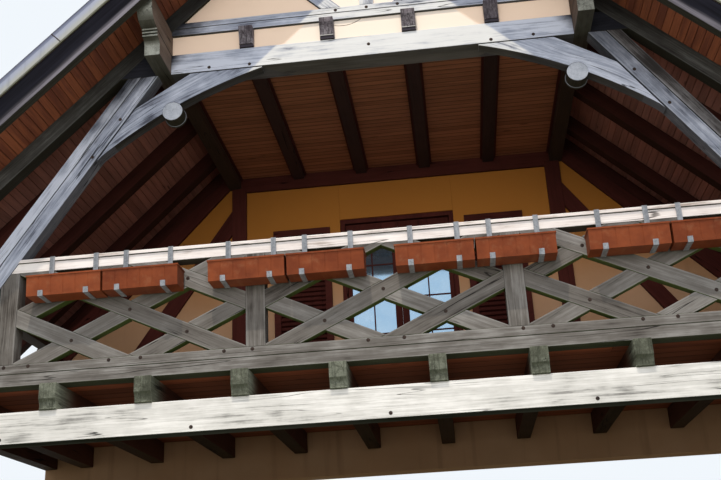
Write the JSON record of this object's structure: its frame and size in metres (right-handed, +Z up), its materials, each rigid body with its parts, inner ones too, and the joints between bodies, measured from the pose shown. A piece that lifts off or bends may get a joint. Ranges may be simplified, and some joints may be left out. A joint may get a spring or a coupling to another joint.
{
  "type": "alpine chalet gable loggia",
  "caption": "Timber gable-end storey of an alpine chalet: balcony with a crossed-bar parapet and flower boxes, raking struts, curved braces and a steep overhanging roof.",
  "frame": {"origin": "centre of the outline on the base plane, which is the underside of the beam under the balcony joists and of the back wall", "axes": "+X across the front to the right as seen from outside, +Y into the house, +Z up"},
  "size_m": [7.9, 3.647, 5.518],
  "materials": {
    "weathered_timber": "silver-grey weathered softwood",
    "dark_timber": "dark brown stained softwood",
    "soffit_boards": "red-brown stained boards",
    "brown_boards": "brown floor boards",
    "terracotta_plastic": "terracotta-coloured, ribbed",
    "galvanised_steel": "galvanised flat bar",
    "gable_render": "peach lime render",
    "wall_render": "ochre lime render",
    "roof_tiles": "weathered plain clay tiles on battens",
    "verge_sheet": "pale grey folded sheet",
    "window_glass": "clear, reflecting the sky"
  },
  "bodies": {
    "root": {"lower_beam": "weathered_timber", "floor_joists": "weathered_timber", "floor_boards": "brown_boards", "sill_plate": "weathered_timber", "balcony_posts": "weathered_timber", "lattice_left": "weathered_timber", "lattice_middle": "weathered_timber", "lattice_right": "weathered_timber", "handrail": "weathered_timber", "handrail_cap": "weathered_timber", "flower_boxes": "terracotta_plastic", "box_hangers": "galvanised_steel", "inner_struts": "weathered_timber", "outer_struts": "weathered_timber", "curved_braces": "weathered_timber", "log_ends": "weathered_timber", "collar_beam": "weathered_timber", "attic_joists": "dark_timber", "joist_infill": "gable_render", "ceiling_boards": "soffit_boards", "purlin_bolsters": "weathered_timber", "roof_purlins": "weathered_timber", "upper_sill_beam": "weathered_timber", "king_post": "weathered_timber", "gable_braces": "weathered_timber", "gable_plaster": "gable_render", "rafters_left": "dark_timber", "rafters_right": "dark_timber", "knee_posts": "dark_timber", "side_parapets": "dark_timber", "roof_boards_left": "soffit_boards", "roof_boards_right": "soffit_boards", "roof_covering_left": "roof_tiles", "roof_covering_right": "roof_tiles", "ridge_cap": "roof_tiles", "verge_strips": "verge_sheet", "back_wall_base": "wall_render", "back_wall_left": "wall_render", "back_wall_right": "wall_render", "back_wall_over_door": "wall_render", "back_posts": "dark_timber", "back_beam": "dark_timber", "back_braces": "dark_timber", "door_frame": "dark_timber", "door_leaves": "dark_timber", "door_glass": "window_glass", "door_shutters": "dark_timber"}
  },
  "joints": []
}
